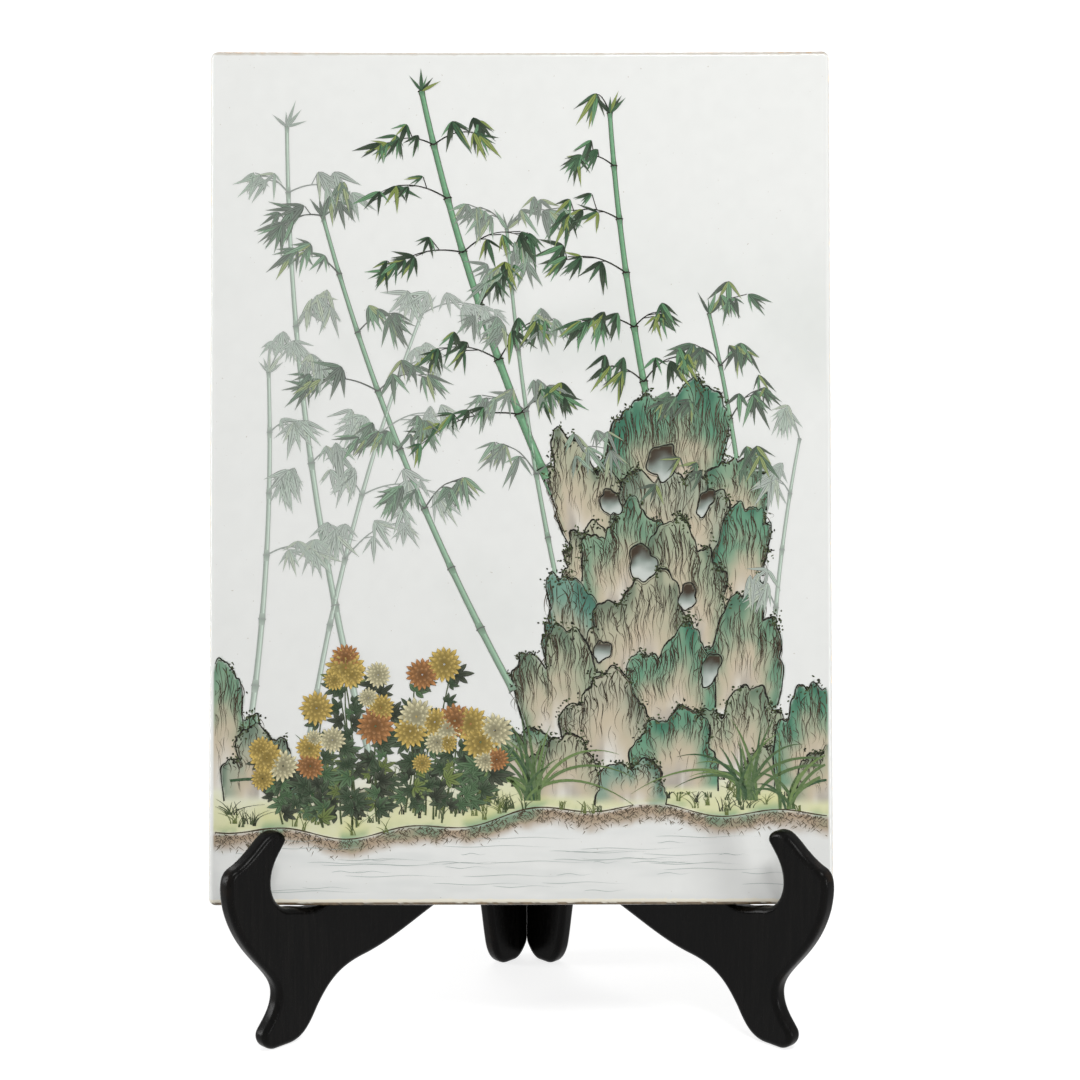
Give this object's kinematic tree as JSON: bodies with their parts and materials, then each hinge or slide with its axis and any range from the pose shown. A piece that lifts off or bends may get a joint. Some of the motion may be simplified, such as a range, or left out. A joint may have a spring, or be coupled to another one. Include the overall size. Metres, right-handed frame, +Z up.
{
  "type": "porcelain plaque on a folding easel",
  "caption": "Rectangular porcelain plaque standing in a folding wooden easel: two scroll-cut boards, hinged at the back, whose hooked feet hold the plaque's lower edge.",
  "frame": {"origin": "on the table, under the middle of the whole object's bounding box", "axes": "+Z up; the painted face of the plaque looks towards -Y and leans back towards +Y; +X is to the viewer's right"},
  "size_m": [0.276, 0.1554, 0.4237],
  "materials": {
    "glazed_porcelain": "clear gloss glaze over white porcelain, painted in overglaze enamels; unglazed biscuit at the back and along the edges",
    "black_lacquer": "hardwood under black lacquer, semi-gloss, rounded arrises",
    "hinge_brass": "aged, slightly dulled",
    "screw_brass": "aged, brighter on the slots"
  },
  "bodies": {
    "easel_left": {"left_board": "black_lacquer", "lower_hinge_left_leaf": "hinge_brass", "lower_hinge_left_screw_1": "screw_brass", "lower_hinge_left_screw_2": "screw_brass", "lower_hinge_pin": "hinge_brass", "upper_hinge_left_leaf": "hinge_brass", "upper_hinge_left_screw_1": "screw_brass", "upper_hinge_left_screw_2": "screw_brass", "upper_hinge_pin": "hinge_brass"},
    "easel_right": {"right_board": "black_lacquer", "lower_hinge_right_leaf": "hinge_brass", "lower_hinge_right_screw_1": "screw_brass", "lower_hinge_right_screw_2": "screw_brass", "upper_hinge_right_leaf": "hinge_brass", "upper_hinge_right_screw_1": "screw_brass", "upper_hinge_right_screw_2": "screw_brass"},
    "plaque": {"plaque": "glazed_porcelain"}
  },
  "joints": [
    {"name": "plaque_lift", "type": "slide", "parent": "easel_left", "child": "plaque", "axis": [0, 0, 1], "range_m": [0, 0.36]},
    {"name": "stand_fold", "type": "hinge", "parent": "easel_left", "child": "easel_right", "pos_m": [0.0026, 0.05017, 0.131], "axis": [0, 0, -1], "range_deg": [0, 90]}
  ],
  "couplings": [
    {"joint": "stand_fold", "follows": "plaque_lift", "rad_per_m": 4.3633}
  ]
}
